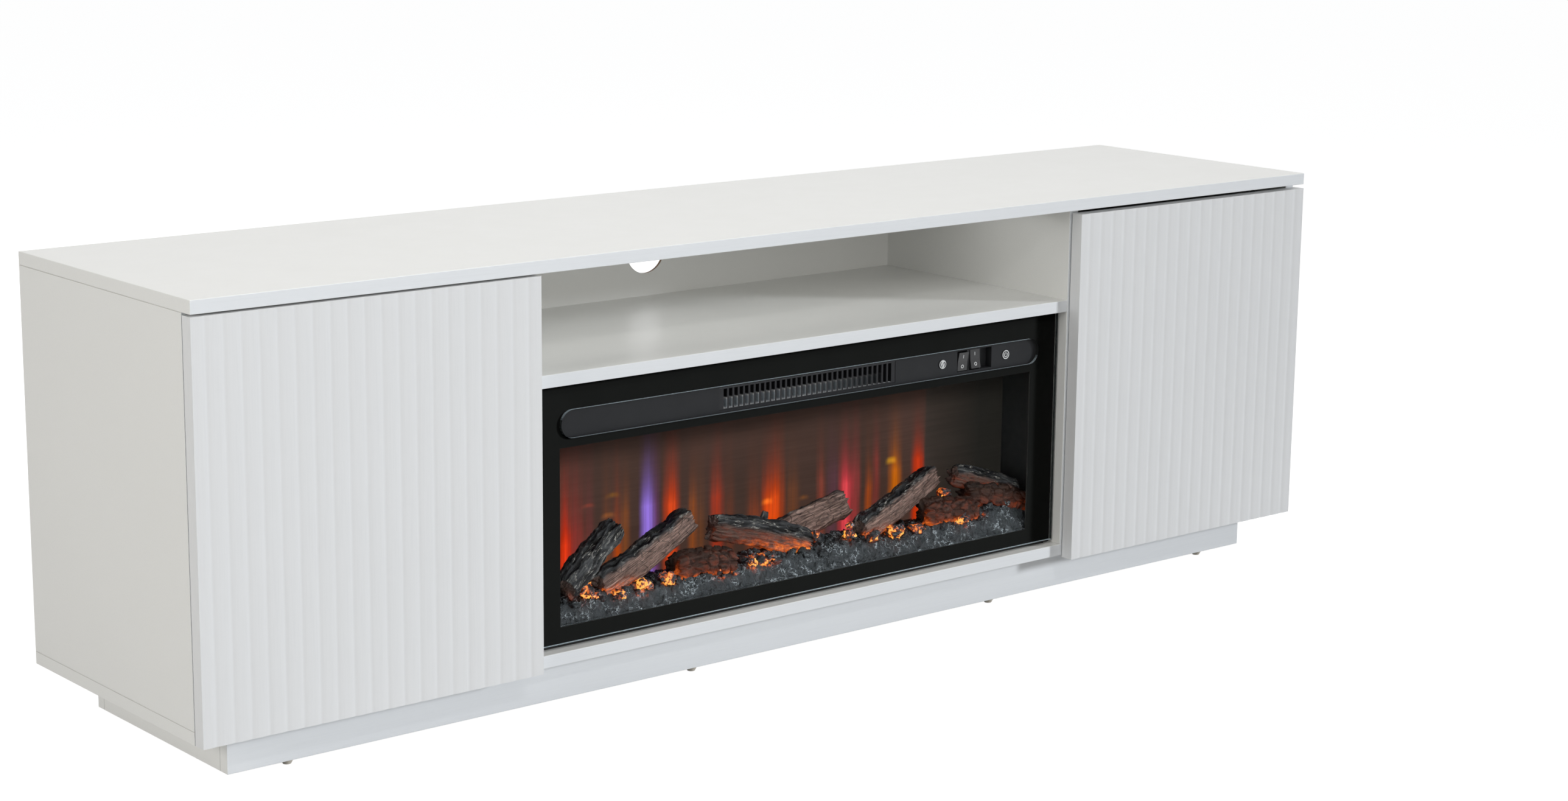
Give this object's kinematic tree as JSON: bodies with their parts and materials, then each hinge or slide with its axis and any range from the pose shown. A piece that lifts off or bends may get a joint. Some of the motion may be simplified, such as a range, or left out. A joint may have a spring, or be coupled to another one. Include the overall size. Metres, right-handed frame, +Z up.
{
  "type": "fireplace tv stand",
  "caption": "Low white media cabinet with fluted doors at both ends, an open middle bay and an electric fireplace insert behind glass below it.",
  "frame": {"origin": "on the floor under the middle of the cabinet", "axes": "+Z up, +X along the cabinet's length, front towards -Y"},
  "size_m": [1.8, 0.412, 0.56],
  "materials": {
    "white_board": "satin white laminate on chipboard",
    "white_door": "satin white foil on fluted fibreboard",
    "white_hardboard": "white faced hardboard",
    "glide_plastic": "moulded",
    "zinc": "zinc plated",
    "hinge_steel": "nickel plated",
    "latch_plastic": "moulded",
    "plunger_plastic": "moulded",
    "clear_glass": "polished, ground edges",
    "black_frame": "satin black",
    "housing_metal": "matt black powder coat",
    "fascia_plastic": "fine moulded texture",
    "grille_metal": "dark, worn bright at the ends",
    "button_plastic": "gloss",
    "rocker_plastic": "gloss",
    "circuit_board": "solder mask",
    "heater_metal": "bright",
    "duct_metal": "mill finish",
    "blower_plastic": "moulded",
    "motor_metal": "plated",
    "screen_plastic": "smoked, shows the flame picture",
    "mirror_foil": "polished",
    "light_strip": "white strip with light chips",
    "ember_resin": "crumbled, part translucent",
    "log_resin": "moulded bark and charred wood",
    "gland_plastic": "moulded"
  },
  "bodies": {
    "cabinet": {"top_panel": "white_board", "bottom_panel": "white_board", "left_side_panel": "white_board", "right_side_panel": "white_board", "left_divider": "white_board", "right_divider": "white_board", "center_shelf": "white_board", "left_cabinet_shelf": "white_board", "right_cabinet_shelf": "white_board", "plinth_front": "white_board", "plinth_back": "white_board", "left_plinth_end": "white_board", "right_plinth_end": "white_board", "plinth_cross_rails": "white_board", "left_back_panel": "white_hardboard", "center_back_panel": "white_hardboard", "right_back_panel": "white_hardboard", "floor_glides": "glide_plastic", "shelf_pins": "zinc", "cam_locks": "zinc", "cam_bolts": "zinc", "assembly_screws": "zinc", "insert_brackets": "zinc", "left_hinge_arms": "hinge_steel", "right_hinge_arms": "hinge_steel", "left_latch_housing": "latch_plastic", "right_latch_housing": "latch_plastic", "front_glass": "clear_glass", "front_frame": "black_frame", "insert_housing": "housing_metal", "insert_back_cover": "housing_metal", "control_fascia": "fascia_plastic", "rocker_housings": "fascia_plastic", "outlet_grille": "grille_metal", "control_board": "circuit_board", "heater_element": "heater_metal", "heater_duct": "duct_metal", "blower_motor": "motor_metal", "rotor_motor": "motor_metal", "flame_screen": "screen_plastic", "led_strips": "light_strip", "ember_bed": "ember_resin", "log_set": "log_resin", "cord_gland": "gland_plastic"},
    "left_link": {"left_hinge_links": "hinge_steel"},
    "left_door": {"left_door": "white_door", "left_hinge_cups": "hinge_steel", "left_strike_plate": "zinc"},
    "left_plunger": {"left_latch_plunger": "plunger_plastic"},
    "right_link": {"right_hinge_links": "hinge_steel"},
    "right_door": {"right_door": "white_door", "right_hinge_cups": "hinge_steel", "right_strike_plate": "zinc"},
    "right_plunger": {"right_latch_plunger": "plunger_plastic"},
    "power_button": {"power_button": "button_plastic"},
    "flame_button": {"flame_button": "button_plastic"},
    "left_rocker": {"left_rocker": "rocker_plastic"},
    "right_rocker": {"right_rocker": "rocker_plastic"},
    "blower": {"blower_wheel": "blower_plastic"},
    "flame_rotor": {"flame_rotor": "mirror_foil"}
  },
  "joints": [
    {"name": "left_link_turn", "type": "hinge", "parent": "cabinet", "child": "left_link", "pos_m": [-0.8682, -0.1866, 0.299], "axis": [0, 0, -1], "range_deg": [-43.1, 0]},
    {"name": "left_door_turn", "type": "hinge", "parent": "left_link", "child": "left_door", "pos_m": [-0.8891, -0.1912, 0.299], "axis": [0, 0, -1], "range_deg": [0, 143]},
    {"name": "left_plunger_slide", "type": "slide", "parent": "cabinet", "child": "left_plunger", "axis": [0, -1, 0], "range_m": [0, 0.0101]},
    {"name": "right_link_turn", "type": "hinge", "parent": "cabinet", "child": "right_link", "pos_m": [0.8682, -0.1866, 0.299], "axis": [0, 0, 1], "range_deg": [-43.1, 0]},
    {"name": "right_door_turn", "type": "hinge", "parent": "right_link", "child": "right_door", "pos_m": [0.8891, -0.1912, 0.299], "axis": [0, 0, 1], "range_deg": [0, 143]},
    {"name": "right_plunger_slide", "type": "slide", "parent": "cabinet", "child": "right_plunger", "axis": [0, -1, 0], "range_m": [0, 0.0101]},
    {"name": "power_button_press", "type": "slide", "parent": "cabinet", "child": "power_button", "axis": [0, 1, 0], "range_m": [0, 0.001], "stiffness_N_per_m": 1500},
    {"name": "flame_button_press", "type": "slide", "parent": "cabinet", "child": "flame_button", "axis": [0, 1, 0], "range_m": [0, 0.001], "stiffness_N_per_m": 1500},
    {"name": "left_rocker_tilt", "type": "hinge", "parent": "cabinet", "child": "left_rocker", "pos_m": [0.269, -0.16, 0.3505], "axis": [-1, 0, 0], "range_deg": [0, 16]},
    {"name": "right_rocker_tilt", "type": "hinge", "parent": "cabinet", "child": "right_rocker", "pos_m": [0.2915, -0.16, 0.3505], "axis": [1, 0, 0], "range_deg": [0, 16]},
    {"name": "blower_spin", "type": "hinge", "parent": "cabinet", "child": "blower", "pos_m": [0, -0.0875, 0.356], "axis": [1, 0, 0], "continuous": true},
    {"name": "flame_rotor_spin", "type": "hinge", "parent": "cabinet", "child": "flame_rotor", "pos_m": [0, -0.0475, 0.1355], "axis": [1, 0, 0], "continuous": true}
  ],
  "couplings": [
    {"joint": "left_link_turn", "follows": "left_door_turn", "ratio": -0.3007},
    {"joint": "left_plunger_slide", "follows": "left_door_turn", "m_per_rad": 0.0040067},
    {"joint": "right_link_turn", "follows": "right_door_turn", "ratio": -0.3007},
    {"joint": "right_plunger_slide", "follows": "right_door_turn", "m_per_rad": 0.0040067}
  ]
}
